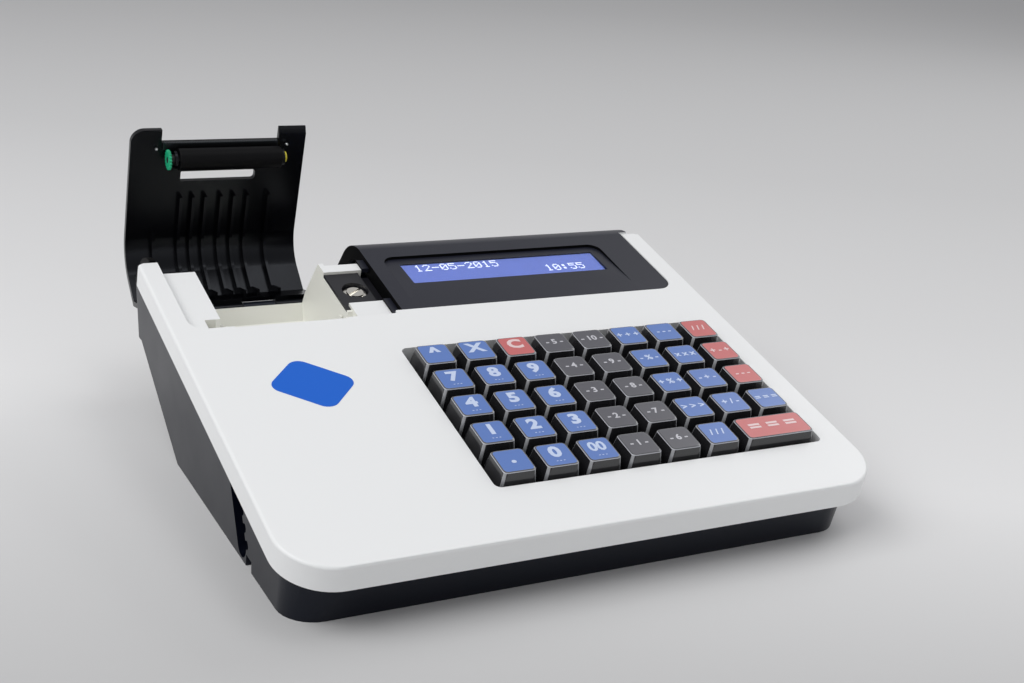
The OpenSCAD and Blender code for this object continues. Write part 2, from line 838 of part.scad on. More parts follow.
module key_frame() {
    color("black") on_slope() {
        difference() {
            slab(opening_left - 3.2, opening_right + 3.2, opening_front - 3.5, opening_back + 3.5,
                frame_top_n - frame_thickness, frame_top_n);
            for (k = KEYS) translate([key_x(k[0], k[1]), key_v(k[0]) + label_back, -15])
                linear_extrude(10) square(stem + 2 * stem_gap, center = true);
        }
        for (x = [opening_left - 0.2, 48.6, opening_right + 0.2], v = [opening_front - 0.5, opening_back + 0.5])
            translate([x, v, board_top_n]) cylinder(r = 2.4, h = frame_top_n - board_top_n - 1);
    }
}

module circuit_boards() {
    color("darkgreen") on_slope() slab(opening_left - 3.2, opening_right + 3.2, opening_front - 3.5,
        opening_back + 3.5, board_top_n - board_thickness, board_top_n);
    color("darkgreen") translate([-28, 94, 41]) cube([144, 43, 1.6]);
    color("dimgray") for (i = [0 : 3]) translate([socket_x[i] - socket_w[i] / 2, 127, 42.6]) difference() {
        cube([socket_w[i], 12.5, socket_h[i] + 0.6]);
        translate([1.5, 3, 2.1]) cube([socket_w[i] - 3, 12, socket_h[i] - 3]);
    }
}

key_colors = [
    ["royalblue", "royalblue", "firebrick", "dimgray", "dimgray", "royalblue", "royalblue", "firebrick"],
    ["royalblue", "royalblue", "royalblue", "dimgray", "dimgray", "royalblue", "royalblue", "firebrick"],
    ["royalblue", "royalblue", "royalblue", "dimgray", "dimgray", "royalblue", "royalblue", "firebrick"],
    ["royalblue", "royalblue", "royalblue", "dimgray", "dimgray", "royalblue", "royalblue", "royalblue"],
    ["royalblue", "royalblue", "royalblue", "dimgray", "dimgray", "royalblue", "firebrick"]];

// Half sizes of a key at its foot, at the cap's shoulder and at the label
shoulder_n = key_rise - 1.1;
shoulder = 15.6 / 2;
foot = key_foot / 2;
label = key_top / 2;
label_back = 0.4;

// Trapezoid across the key, from half width w0 at n0 to w1 at n1
module wedge(n0, n1, w0, w1, span, turn) {
    rotate([0, 0, turn]) translate([0, span / 2, 0]) rotate([90, 0, 0]) linear_extrude(span)
        polygon([[-w0, n0], [w0, n0], [w1, n1], [-w1, n1]]);
}

// Four flat sloping sides with corners rounded by a cone; extra widens the key each way
module tapered(extra, n0, n1, w0, w1) {
    intersection() {
        wedge(n0, n1, w0 + extra, w1 + extra, 30, 0);
        wedge(n0, n1, w0, w1, 60, 90);
        union() {
            for (side = extra > 0 ? [-1, 1] : [0]) translate([side * extra, 0, n0])
                cylinder(r1 = w0 * 1.33, r2 = w1 * 1.33, h = n1 - n0);
            if (extra > 0) translate([-extra, -30, n0]) cube([2 * extra, 60, n1 - n0]);
        }
    }
}

module key(row, column) {
    extra = is_total(row, column) ? key_pitch / 2 : 0;
    seat = key_rise - label_thickness;
    on_slope() translate([key_x(row, column), key_v(row) + label_back, 0]) {
        color("black") {
            tapered(extra, key_foot_n, shoulder_n, foot, shoulder);
            tapered(extra, shoulder_n, seat, shoulder, shoulder - 0.5);
            translate([-stem / 2, -stem / 2, stem_end_n]) cube([stem, stem, key_foot_n - stem_end_n + rim]);
        }
        color(key_colors[row - 1][column - 1]) translate([0, -label_back, 0])
            tapered(extra, seat - rim, key_rise, label + 0.25, label);
    }
}

base_tray();
top_shell();
paper_bay();
printer_frame();
print_head();
printer_cover();
tear_bar();
platen_bushes();
platen_roller();
platen_shaft();
platen_gear();
hinge_pin();
display_hood();
display_windows();
display_modules();
seal_bracket();
seal_screw();
key_frame();
circuit_boards();
journal_card();
rubber_feet();
for (k = KEYS) key(k[0], k[1]);
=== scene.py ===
import math

import bmesh
import bpy
from mathutils import Euler, Matrix, Vector


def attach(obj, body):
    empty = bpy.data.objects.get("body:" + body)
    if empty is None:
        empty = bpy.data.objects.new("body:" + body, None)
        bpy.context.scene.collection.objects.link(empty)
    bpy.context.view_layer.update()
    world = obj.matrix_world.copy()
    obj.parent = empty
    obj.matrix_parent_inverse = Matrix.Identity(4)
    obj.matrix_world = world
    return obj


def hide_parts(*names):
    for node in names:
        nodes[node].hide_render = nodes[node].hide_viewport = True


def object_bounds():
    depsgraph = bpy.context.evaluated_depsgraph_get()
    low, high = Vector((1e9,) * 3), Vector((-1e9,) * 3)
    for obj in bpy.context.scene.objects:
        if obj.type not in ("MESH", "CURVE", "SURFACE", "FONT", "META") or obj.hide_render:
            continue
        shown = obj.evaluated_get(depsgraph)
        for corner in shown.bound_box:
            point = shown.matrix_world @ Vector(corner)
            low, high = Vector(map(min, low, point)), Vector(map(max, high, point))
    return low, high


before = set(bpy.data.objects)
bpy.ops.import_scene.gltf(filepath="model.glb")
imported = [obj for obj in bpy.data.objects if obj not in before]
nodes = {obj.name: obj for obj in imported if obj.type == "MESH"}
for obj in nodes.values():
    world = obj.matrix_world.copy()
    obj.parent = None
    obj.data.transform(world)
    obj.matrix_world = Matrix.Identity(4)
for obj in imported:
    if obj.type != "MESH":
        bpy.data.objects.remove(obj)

cad_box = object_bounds()

# ---- Studio ---------------------------------------------------------------------------
# A pale floor under soft light: a broad panel high on the left, a weaker one on the right and
# a small one above. The camera stands at the operator's left, a little above the register.
camera = bpy.data.objects.new("camera", bpy.data.cameras.new("camera"))
bpy.context.scene.collection.objects.link(camera)
camera.location = (-0.28169, -0.50501, 0.27191)
camera.rotation_euler = Euler([math.radians(a) for a in (70.7092, -4.5208, -27.1647)])
camera.data.sensor_width = 36
camera.data.lens = 51.855
bpy.context.scene.camera = camera
bpy.context.scene.view_settings.view_transform = "Standard"


def panel_light(name, place, aim, width, height, power):
    """A rectangular soft box that faces the point aim."""
    lamp = bpy.data.lights.new(name, "AREA")
    lamp.shape = "RECTANGLE"
    lamp.size, lamp.size_y, lamp.energy = width, height, power
    panel = bpy.data.objects.new(name, lamp)
    bpy.context.scene.collection.objects.link(panel)
    panel.location = place
    panel.rotation_euler = (Vector(aim) - Vector(place)).to_track_quat("-Z", "Y").to_euler()


panel_light("light_left", place=(-1.3, -0.2, 1.5), aim=(0, 0, 0.05),
            width=1.6, height=1.2, power=20)
panel_light("light_right", place=(1.5, 0.5, 1.3), aim=(0, 0, 0.05),
            width=1.2, height=0.9, power=6)
panel_light("light_above", place=(0.3, -0.25, 1.5), aim=(-0.08, 0.1, 0.07),
            width=0.6, height=0.4, power=1.6)

# Room light: paler at the level of the floor than overhead.
world = bpy.data.worlds.new("studio")
bpy.context.scene.world = world
world.use_nodes = True
room_nodes, room_links = world.node_tree.nodes, world.node_tree.links
room_nodes.clear()
direction = room_nodes.new("ShaderNodeTexCoord")
height = room_nodes.new("ShaderNodeSeparateXYZ")
room = room_nodes.new("ShaderNodeValToRGB")
room.color_ramp.elements[0].position = 0.0
room.color_ramp.elements[0].color = (0.66, 0.66, 0.67, 1)
room.color_ramp.elements[1].position = 0.55
room.color_ramp.elements[1].color = (0.34, 0.34, 0.35, 1)
glow = room_nodes.new("ShaderNodeBackground")
glow.inputs["Strength"].default_value = 1.3
out = room_nodes.new("ShaderNodeOutputWorld")
room_links.new(direction.outputs["Generated"], height.inputs[0])
room_links.new(height.outputs["Z"], room.inputs[0])
room_links.new(room.outputs[0], glow.inputs["Color"])
room_links.new(glow.outputs[0], out.inputs["Surface"])

# Floor: a wide pale sheet with painted light in its tones: a painted pool of light under the
# register, a darker band in front of it, dimmer far behind. The tones run along one direction,
# from the front to far behind.
FLOOR_SIZE = 40
FLOOR_TURN = math.radians(-28.7)
FLOOR_SPAN = (-1.4, 3.0)
FLOOR_PAINTED_LIGHT = ((0.0, 0.62), (0.16, 0.6), (0.25, 0.38), (0.289, 0.58), (0.326, 0.8), (0.382, 0.72),
               (0.475, 0.64), (0.736, 0.56))
bm = bmesh.new()
bmesh.ops.create_grid(bm, x_segments=1, y_segments=1, size=FLOOR_SIZE)
mesh = bpy.data.meshes.new("floor")
bm.to_mesh(mesh)
bm.free()
floor = bpy.data.objects.new("floor", mesh)
bpy.context.scene.collection.objects.link(floor)
paint = bpy.data.materials.new("floor_paint")
paint.use_nodes = True
paint_nodes, paint_links = paint.node_tree.nodes, paint.node_tree.links
shader = paint_nodes["Principled BSDF"]
shader.inputs["Roughness"].default_value = 0.9
shader.inputs["Specular IOR Level"].default_value = 0.0
place = paint_nodes.new("ShaderNodeTexCoord")
turn = paint_nodes.new("ShaderNodeMapping")
turn.inputs["Rotation"].default_value = (0, 0, -FLOOR_TURN)
split = paint_nodes.new("ShaderNodeSeparateXYZ")
span = paint_nodes.new("ShaderNodeMapRange")
span.inputs["From Min"].default_value, span.inputs["From Max"].default_value = FLOOR_SPAN
tones = paint_nodes.new("ShaderNodeValToRGB")
for position, grey in FLOOR_PAINTED_LIGHT:
    element = tones.color_ramp.elements.new(position)
    element.color = (grey, grey, grey, 1)
tones.color_ramp.elements.remove(tones.color_ramp.elements[0])
tones.color_ramp.elements.remove(tones.color_ramp.elements[-1])
paint_links.new(place.outputs["Object"], turn.inputs["Vector"])
paint_links.new(turn.outputs[0], split.inputs[0])
paint_links.new(split.outputs["Y"], span.inputs["Value"])
paint_links.new(span.outputs[0], tones.inputs[0])
paint_links.new(tones.outputs[0], shader.inputs["Base Color"])
floor.data.materials.append(paint)


# ---- Top shell ------------------------------------------------------------------------
# The white top is one injection moulding in satin ABS, open below, with a rolled outer edge.
# Its rim fits over the base's flange. Its inner edges are broken by the mould's small radii.
def grain_group():
    """Fine spark-eroded texture of a moulding, with a soft cloud in its colour and gloss."""
    group = bpy.data.node_groups.new("moulded_grain", "ShaderNodeTree")
    for name, kind, value in (("Color", "NodeSocketColor", (0.5, 0.5, 0.5, 1)),
                              ("Grain Scale", "NodeSocketFloat", 900),
                              ("Grain Depth", "NodeSocketFloat", 0.1),
                              ("Roughness", "NodeSocketFloat", 0.4),
                              ("Cloud", "NodeSocketFloat", 0.04)):
        socket = group.interface.new_socket(name, in_out="INPUT", socket_type=kind)
        socket.default_value = value
    for name, kind in (("Color", "NodeSocketColor"), ("Roughness", "NodeSocketFloat"),
                       ("Normal", "NodeSocketVector")):
        group.interface.new_socket(name, in_out="OUTPUT", socket_type=kind)
    new, link = group.nodes.new, group.links.new
    given, result = new("NodeGroupInput"), new("NodeGroupOutput")
    spot = new("ShaderNodeTexCoord")
    grain, cloud = new("ShaderNodeTexNoise"), new("ShaderNodeTexNoise")
    grain.inputs["Detail"].default_value = 3
    cloud.inputs["Scale"].default_value = 28
    cloud.inputs["Detail"].default_value = 4
    centred = new("ShaderNodeMath")
    centred.operation = "SUBTRACT"
    centred.inputs[1].default_value = 0.5
    gloss = new("ShaderNodeMath")
    gloss.operation = "MULTIPLY_ADD"
    gloss.inputs[1].default_value = 0.16
    shade = new("ShaderNodeMath")
    shade.operation = "MULTIPLY"
    darker = new("ShaderNodeMix")
    darker.data_type = "RGBA"
    darker.blend_type = "MULTIPLY"
    darker.inputs["B"].default_value = (0.55, 0.55, 0.56, 1)
    bump = new("ShaderNodeBump")
    bump.inputs["Distance"].default_value = 0.0002
    link(spot.outputs["Object"], grain.inputs["Vector"])
    link(spot.outputs["Object"], cloud.inputs["Vector"])
    link(given.outputs["Grain Scale"], grain.inputs["Scale"])
    link(cloud.outputs["Fac"], centred.inputs[0])
    link(centred.outputs[0], gloss.inputs[0])
    link(given.outputs["Roughness"], gloss.inputs[2])
    link(cloud.outputs["Fac"], shade.inputs[0])
    link(given.outputs["Cloud"], shade.inputs[1])
    link(shade.outputs[0], darker.inputs["Factor"])
    link(given.outputs["Color"], darker.inputs["A"])
    link(grain.outputs["Fac"], bump.inputs["Height"])
    link(given.outputs["Grain Depth"], bump.inputs["Strength"])
    link(darker.outputs["Result"], result.inputs["Color"])
    link(gloss.outputs[0], result.inputs["Roughness"])
    link(bump.outputs["Normal"], result.inputs["Normal"])
    return group


GRAIN = grain_group()


def moulded(name, color, roughness, scale, depth, cloud, **sockets):
    """Material of a moulded, cast or ground piece; the shader's own sockets go by name."""
    material = bpy.data.materials.new(name)
    material.use_nodes = True
    tree = material.node_tree
    shader = tree.nodes["Principled BSDF"]
    grain = tree.nodes.new("ShaderNodeGroup")
    grain.node_tree = GRAIN
    grain.inputs["Color"].default_value = (*color, 1)
    grain.inputs["Grain Scale"].default_value = scale
    grain.inputs["Grain Depth"].default_value = depth
    grain.inputs["Roughness"].default_value = roughness
    grain.inputs["Cloud"].default_value = cloud
    tree.links.new(grain.outputs["Color"], shader.inputs["Base Color"])
    tree.links.new(grain.outputs["Roughness"], shader.inputs["Roughness"])
    tree.links.new(grain.outputs["Normal"], shader.inputs["Normal"])
    for socket, value in sockets.items():
        shader.inputs[socket.replace("_", " ")].default_value = value
    return material


def add_piece(name, bm, body, slot, *materials):
    """Makes the finished mesh an object that moves with its body."""
    mesh = bpy.data.meshes.new(name)
    bm.to_mesh(mesh)
    bm.free()
    piece = bpy.data.objects.new(name, mesh)
    bpy.context.scene.collection.objects.link(piece)
    for material in materials:
        mesh.materials.append(material)
    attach(piece, body)
    return piece


def soft_edges(piece, width, segments):
    """Breaks the sharp edges as a mould does, and shades the flats flat."""
    sharp_from = math.radians(32)
    for polygon in piece.data.polygons:
        polygon.use_smooth = True
    bevel = piece.modifiers.new("edges", "BEVEL")
    bevel.width, bevel.segments = width, segments
    bevel.limit_method, bevel.angle_limit = "ANGLE", sharp_from
    bevel.use_clamp_overlap = True
    shading = piece.modifiers.new("shading", "WEIGHTED_NORMAL")
    shading.keep_sharp = True


def from_solid(node, body, slot, material, edge, segments=2, finishes=()):
    """A merged copy of a solid, its edges broken by the width edge, in place of the solid.

    Each of the finishes is a material and a test of a face's middle and normal that says
    where it goes."""
    bm = bmesh.new()
    bm.from_mesh(nodes[node].data)
    bmesh.ops.remove_doubles(bm, verts=bm.verts, dist=2e-6)
    bmesh.ops.dissolve_limit(bm, angle_limit=math.radians(0.5), verts=bm.verts, edges=bm.edges)
    for face in bm.faces:
        face.material_index = 0
        for number, (finish, test) in enumerate(finishes, 1):
            if test(face.calc_center_median(), face.normal):
                face.material_index = number
    piece = add_piece(node + "_moulding", bm, body, slot, material,
                      *[finish for finish, test in finishes])
    soft_edges(piece, edge, segments)
    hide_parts(node)
    return piece


# The shell's own axes: across, up the slope and out of it, from the middle of its front edge.
SHELL_TOP = Matrix.Translation((0, -0.0884, 0.0294)) @ Matrix.Rotation(math.radians(13), 4, "X")


def on_slope(place):
    """A place given along the shell's own axes."""
    return SHELL_TOP.inverted() @ place


white_abs = moulded("white_abs", (0.83, 0.84, 0.84),
                    roughness=0.36, scale=1400, depth=0.05, cloud=0.02)
shell = from_solid("top_shell", "case", "shell_white", white_abs, edge=0.0005)
# The solid's rolled edge is drawn tighter at the front and the sides, as the moulding's is. It
# stays behind the front of the solids' box.
SHELL_HALF, SHELL_LENGTH, FRONT_CORNER = 0.13, 0.215, 0.022
ROLL, TIGHTER, SLACK = 0.003, 0.45, 1e-5
for vertex in shell.data.vertices:
    x, v, n = on_slope(vertex.co)
    over_x, over_v = max(abs(x) - SHELL_HALF + FRONT_CORNER, 0), max(FRONT_CORNER - v, 0)
    reach = math.hypot(over_x, over_v)
    inward = FRONT_CORNER - reach
    on_roll = (abs(math.hypot(ROLL - inward, ROLL + n) - ROLL) < 5 * SLACK
               and inward < ROLL + SLACK and -n < ROLL + SLACK)
    if on_roll and v < SHELL_LENGTH - ROLL + SLACK:
        shift = (1 - TIGHTER) * inward / reach
        vertex.co = SHELL_TOP @ Vector((x + math.copysign(over_x, x) * shift,
                                        v - over_v * shift, n * TIGHTER))
        vertex.co.y = max(vertex.co.y, cad_box[0][1])

# ---- Plain label ----------------------------------------------------------------------
# A blue film label with round corners, glued diagonally on the shell beside the keyboard. It is
# left blank.
label_film = moulded("label_film", (0.006, 0.12, 0.6),
                     roughness=0.35, scale=700, depth=0.02, cloud=0.05, Specular_IOR_Level=0.25)
LABEL_SIZE, LABEL_CORNER, LABEL_THICKNESS = (0.0287, 0.0251, 1), 0.0052, 0.00012
LABEL_PLACE, LABEL_TURN = (-0.0844, 0.1091, 0), math.radians(-43)
bm = bmesh.new()
bmesh.ops.create_grid(bm, x_segments=1, y_segments=1, size=0.5)
bmesh.ops.scale(bm, vec=LABEL_SIZE, verts=bm.verts)
bmesh.ops.bevel(bm, geom=bm.verts[:], offset=LABEL_CORNER, segments=7, affect="VERTICES",
                profile=0.5, material=-1)
bmesh.ops.solidify(bm, geom=bm.faces[:], thickness=-LABEL_THICKNESS)
bm.transform(SHELL_TOP @ Matrix.Translation(LABEL_PLACE) @ Matrix.Rotation(LABEL_TURN, 4, "Z"))
bmesh.ops.recalc_face_normals(bm, faces=bm.faces)
add_piece("plain_label", bm, "case", "key_blue", label_film)

# ---- Base -----------------------------------------------------------------------------
# The tray below is a black moulding with a fine texture. It has the openings of the sockets at
# the back and the slot for the journal card at the left. Its rear rim is given a dull near-black
# as painted shade.
black_base = moulded("black_base", (0.001, 0.0018, 0.006),
                     roughness=0.32, scale=1100, depth=0.12, cloud=0.1,
                     Specular_IOR_Level=0.34, Specular_Tint=(0.8, 0.86, 1.0, 1))
# A dull near-black, put as painted shade where shade falls on the base and the hood.
painted_shade_black = moulded("painted_shade_black", (0.0012, 0.0012, 0.0015),
                     roughness=0.6, scale=900, depth=0.1, cloud=0.1, Specular_IOR_Level=0.1)
RIM_RIGHT, RIM_FRONT, RIM_FOOT = -0.1, 0.215, -0.013


def on_rear_rim(place):
    """Tells the faces of the base behind the shell's left arm, which get painted shade."""
    return place.x < RIM_RIGHT and place.y > RIM_FRONT and place.z > RIM_FOOT


from_solid("base_tray", "case", "base_black", black_base, edge=0.0004,
           finishes=[(painted_shade_black, lambda middle, normal: on_rear_rim(on_slope(middle)))])

# ---- Feet and journal card ------------------------------------------------------------
# Four soft rubber pads are set into seats in the tray's underside. The journal card is a flat
# black case with a nail groove, which slides in its slot.
rubber = moulded("foot_rubber", (0.015, 0.015, 0.016),
                 roughness=0.75, scale=700, depth=0.3, cloud=0.1)
from_solid("rubber_feet", "case", "feet_rubber", rubber, edge=0.0004)
card_plastic = moulded("card_plastic", (0.018, 0.018, 0.022),
                       roughness=0.3, scale=1200, depth=0.05, cloud=0.05)
from_solid("journal_card", "card", "card_black", card_plastic, edge=0.0002)

# ---- Paper bay ------------------------------------------------------------------------
# The drop-in roll pocket, the ledge beside it and the bars of the seal compartment are one
# moulding in the shell's recess. Its faces that are level with the shell are white; its deeper
# faces take a yellower cream, painted shade.
# Below this level the bay's faces take the yellower cream of painted shade; above it they are
# white.
PAINTED_SHADE_BELOW = -0.0042
bay_shade_cream = moulded("bay_ivory", (0.85, 0.85, 0.79),
                roughness=0.42, scale=1200, depth=0.06, cloud=0.04)
from_solid("paper_bay", "case", "bay_ivory", bay_shade_cream, edge=0.0003,
           finishes=[(white_abs, lambda middle, normal: on_slope(middle).z > PAINTED_SHADE_BELOW)])

# ---- Printer --------------------------------------------------------------------------
# Below the ledge lie the frame of plated steel, its cheeks and tips painted like the bay in its
# yellower cream, the painted shade of the bay's deeper faces, and the thermal head, an
# aluminium plate with fins on a pin between the cheeks.
TIPS_FROM = -0.012
steel = moulded("frame_steel", (0.55, 0.56, 0.57),
                roughness=0.35, scale=400, depth=0.1, cloud=0.1, Metallic=1.0)
from_solid("printer_frame", "case", "frame_steel", steel, edge=0.0002,
           finishes=[(bay_shade_cream, lambda middle, normal:
                      abs(normal.x) > 0.9 or on_slope(middle).z > TIPS_FROM)])
head_metal = moulded("head_aluminium", (0.72, 0.73, 0.74),
                     roughness=0.35, scale=600, depth=0.08, cloud=0.1, Metallic=1.0)
from_solid("print_head", "head", "head_aluminium", head_metal, edge=0.0002)

# ---- Printer cover --------------------------------------------------------------------
# The cover is a glossy black moulding that turns back on its hinge. A toothed tear bar of dark
# steel lies along its front edge, between two bright pins.
black_cover = moulded("black_cover", (0.0013, 0.0013, 0.002),
                      roughness=0.25, scale=1400, depth=0.06, cloud=0.08,
                      Specular_IOR_Level=0.26, Specular_Tint=(0.85, 0.9, 1.0, 1))
from_solid("printer_cover", "cover", "cover_black", black_cover, edge=0.0003)
pin_bright = moulded("pin_bright", (0.5, 0.52, 0.52),
                     roughness=0.3, scale=500, depth=0.05, cloud=0.1, Metallic=1.0)
tear_steel = moulded("tear_steel", (0.05, 0.055, 0.06),
                     roughness=0.4, scale=500, depth=0.1, cloud=0.1, Metallic=1.0)
from_solid("tear_bar", "cover", "tear_steel", tear_steel, edge=0.0001, segments=1)
PIN_PLACES = ((-0.10939, 0.16736, 0.11718), (-0.0462, 0.16714, 0.11806))
PIN_RADIUS, PIN_STRETCH = 0.0008, (1, 1.6, 1)
for number, place in enumerate(PIN_PLACES, 1):
    bm = bmesh.new()
    bmesh.ops.create_uvsphere(bm, u_segments=16, v_segments=8, radius=PIN_RADIUS)
    bmesh.ops.scale(bm, vec=PIN_STRETCH, verts=bm.verts)
    bm.transform(Matrix.Translation(place))
    add_piece("tear_bar_pin_%d" % number, bm, "cover", "tear_steel", pin_bright)

# ---- Platen and hinge pin -------------------------------------------------------------
# The platen, a rubber sleeve on a steel shaft with a green gear, turns in two plastic bushes in
# the cover's cheeks: a yellow one, and a dark one at the gear. The hinge pin of blackened steel
# goes through the knuckles of base and cover.
GEAR_SIDE_X = -0.08
yellow = moulded("bush_yellow", (0.72, 0.62, 0.03),
                 roughness=0.4, scale=900, depth=0.06, cloud=0.05)
drive_bush = moulded("drive_bush", (0.004, 0.004, 0.005),
                     roughness=0.4, scale=900, depth=0.06, cloud=0.05)
from_solid("platen_bushes", "cover", "bush_yellow", yellow, edge=0.0002,
           finishes=[(drive_bush, lambda middle, normal: middle.x < GEAR_SIDE_X)])
platen_rubber = moulded("platen_rubber", (0.002, 0.002, 0.0026),
                        roughness=0.5, scale=1500, depth=0.2, cloud=0.1, Specular_IOR_Level=0.12)
from_solid("platen_roller", "platen", "platen_rubber", platen_rubber, edge=0.0004)
shaft_steel = moulded("shaft_steel", (0.6, 0.6, 0.6),
                      roughness=0.25, scale=700, depth=0.05, cloud=0.1, Metallic=1.0)
from_solid("platen_shaft", "platen", "shaft_steel", shaft_steel, edge=0.0002)
pin_steel = moulded("pin_steel", (0.006, 0.006, 0.007),
                    roughness=0.5, scale=700, depth=0.05, cloud=0.1, Specular_IOR_Level=0.3)
from_solid("hinge_pin", "case", "shaft_steel", pin_steel, edge=0.0002)
green = moulded("gear_green", (0.01, 0.42, 0.2),
                roughness=0.4, scale=900, depth=0.06, cloud=0.05)
from_solid("platen_gear", "platen", "gear_green", green, edge=0.0001, segments=1)

# ---- Display hood ---------------------------------------------------------------------
# The hood continues the cover's section in black ABS, finely textured. It rests on the shell's
# shelf and on the base's rear wall. Its right end is white like the shell; its open left end
# and the walls of the sunk panel round the front window are given a dull black as painted shade.
black_hood = moulded("black_hood", (0.012, 0.0135, 0.0235),
                     roughness=0.42, scale=1400, depth=0.1, cloud=0.08, Specular_IOR_Level=0.38)
WHITE_END_X, OPEN_END_X = 0.1196, -0.023
PANEL_LEFT, PANEL_RIGHT, PANEL_FRONT, PANEL_BACK, PANEL_FOOT = -0.019, 0.1015, 0.166, 0.206, -0.0019
CRISP_BELOW, LARGE_FLAT = math.radians(3), 6e-5


def in_panel(place, normal):
    """Tells the low walls of the sunk panel round the front window."""
    upright = abs(normal.dot(SHELL_TOP.to_3x3() @ Vector((0, 0, 1)))) < 0.35
    return (upright and PANEL_LEFT < place.x < PANEL_RIGHT
            and PANEL_FRONT < place.y < PANEL_BACK and PANEL_FOOT < place.z)


def keep_crisp(mesh):
    """Keeps a hard line where large flats meet at a small angle."""
    bm = bmesh.new()
    bm.from_mesh(mesh)
    for edge in bm.edges:
        if (len(edge.link_faces) == 2
                and math.radians(0.6) < edge.calc_face_angle() < CRISP_BELOW):
            edge.smooth = min(f.calc_area() for f in edge.link_faces) < LARGE_FLAT
    bm.to_mesh(mesh)
    bm.free()


# The open left end and the sunk panel's walls get the dull black of painted shade.
hood = from_solid("display_hood", "case", "cover_black", black_hood, edge=0.00025, finishes=[
    (white_abs, lambda middle, normal: middle.x > WHITE_END_X),
    (painted_shade_black, lambda middle, normal: middle.x < OPEN_END_X and normal.x < -0.9),
    (painted_shade_black, lambda middle, normal: in_panel(on_slope(middle), normal))])
keep_crisp(hood.data)

# ---- Displays -------------------------------------------------------------------------
# Under the hood's two windows lie dark boards with blue dot displays, one for the operator and
# one for the customer. The windows are thin plates of clear acrylic, set into the hood.
display_board = moulded("display_board", (0.004, 0.004, 0.006),
                        roughness=0.5, scale=900, depth=0.1, cloud=0.1)
from_solid("display_modules", "case", "display_blue", display_board, edge=0.0003)
REAR_SLOPE = (SHELL_TOP @ Matrix.Translation((0, 0.2319, -0.01201))
              @ Matrix.Rotation(math.radians(-63), 4, "X") @ Matrix.Rotation(math.pi, 4, "Z"))
lit_blue = moulded("lit_blue", (0.055, 0.095, 0.37),
                   roughness=0.5, scale=900, depth=0.0, cloud=0.06, Specular_IOR_Level=0.2,
                   Emission_Color=(0.255, 0.335, 0.8, 1), Emission_Strength=0.46)
lit_white = moulded("lit_white", (0.7, 0.74, 0.85),
                    roughness=0.5, scale=900, depth=0.0, cloud=0.05, Specular_IOR_Level=0.2,
                    Emission_Color=(0.8, 0.86, 1.0, 1), Emission_Strength=0.8)
clear_acrylic = moulded("clear_acrylic", (0.95, 0.96, 0.99),
                        roughness=0.06, scale=900, depth=0.0, cloud=0.0,
                        Transmission_Weight=1.0, IOR=1.15)
# Rows of each figure from the top, one bit for each of a row's five dots
DOTS = {"0": "0e 11 13 15 19 11 0e", "1": "04 0c 04 04 04 04 0e", "2": "0e 11 01 02 04 08 1f",
        "5": "1f 10 1e 01 01 11 0e", "-": "00 00 00 1f 00 00 00", ":": "00 0c 0c 00 0c 0c 00"}
FIGURE_PITCH, DOT_STEP_X, DOT_STEP_V = 0.00445, 0.00074, 0.00083
DOT_SIZE, DOT_HEIGHT = 0.0007, 0.00004
SCREEN_FOOT, SCREEN_TOP, WINDOW_CORNER = -0.0028, -0.0026, 0.0008
# Side, its slope, the screen's left, right, front and back, the window's left, right, front,
# back, low and high, and the lines of figures with their left and front
DISPLAYS = (
    ("front", SHELL_TOP, (-0.0102, 0.0945, 0.181, 0.2),
     (-0.01, 0.0943, 0.1812, 0.1998, -0.0023, -0.0015),
     (("12-05-2015", -0.0034, 0.1935), ("10:55", 0.0634, 0.1862))),
    ("rear", REAR_SLOPE, (-0.0882, -0.0038, -0.0127, 0.0011),
     (-0.088, -0.004, -0.0126, 0.001, -0.0022, -0.0013),
     (("10:55", -0.0345, -0.009),)))


def plate(bm, seat, left, right, front, back, low, high, radius=0.0):
    """A flat plate on a slope, with round corners if it has a radius."""
    made = bmesh.ops.create_cube(bm, size=1)["verts"]
    for v in made:
        v.co = ((left + right) / 2 + v.co.x * (right - left),
                (front + back) / 2 + v.co.y * (back - front),
                (low + high) / 2 + v.co.z * (high - low))
    if radius:
        edges = {e for v in made for e in v.link_edges}
        upright = [e for e in edges if abs(e.verts[0].co.z - e.verts[1].co.z) > 1e-6]
        made += bmesh.ops.bevel(bm, geom=upright, offset=radius, segments=4, affect="EDGES",
                                profile=0.5, material=-1)["verts"]
    bmesh.ops.transform(bm, matrix=seat, verts=[v for v in set(made) if v.is_valid])


def dot_text(bm, seat, text, left, front):
    """Figures of a dot display, five dots by seven, as flat raised dots."""
    for place, sign in enumerate(text):
        for row, bits in enumerate(DOTS[sign].split()):
            for column in range(5):
                if int(bits, 16) >> (4 - column) & 1:
                    x = left + FIGURE_PITCH * place + DOT_STEP_X * column
                    v = front + DOT_STEP_V * (6 - row)
                    plate(bm, seat, x, x + DOT_SIZE, v, v + DOT_SIZE,
                          SCREEN_TOP, SCREEN_TOP + DOT_HEIGHT)


panes = bmesh.new()
for side, seat, screen, pane, lines in DISPLAYS:
    plate(panes, seat, *pane, radius=WINDOW_CORNER)
    bm = bmesh.new()
    plate(bm, seat, *screen, SCREEN_FOOT, SCREEN_TOP)
    add_piece("screen_" + side, bm, "case", "display_blue", lit_blue)
    bm = bmesh.new()
    for text, left, front in lines:
        dot_text(bm, seat, text, left, front)
    add_piece("screen_figures_" + side, bm, "case", "display_blue", lit_white)
bmesh.ops.recalc_face_normals(panes, faces=panes.faces)
windows = add_piece("display_panes", panes, "case", "window_clear", clear_acrylic)
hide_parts("display_windows")

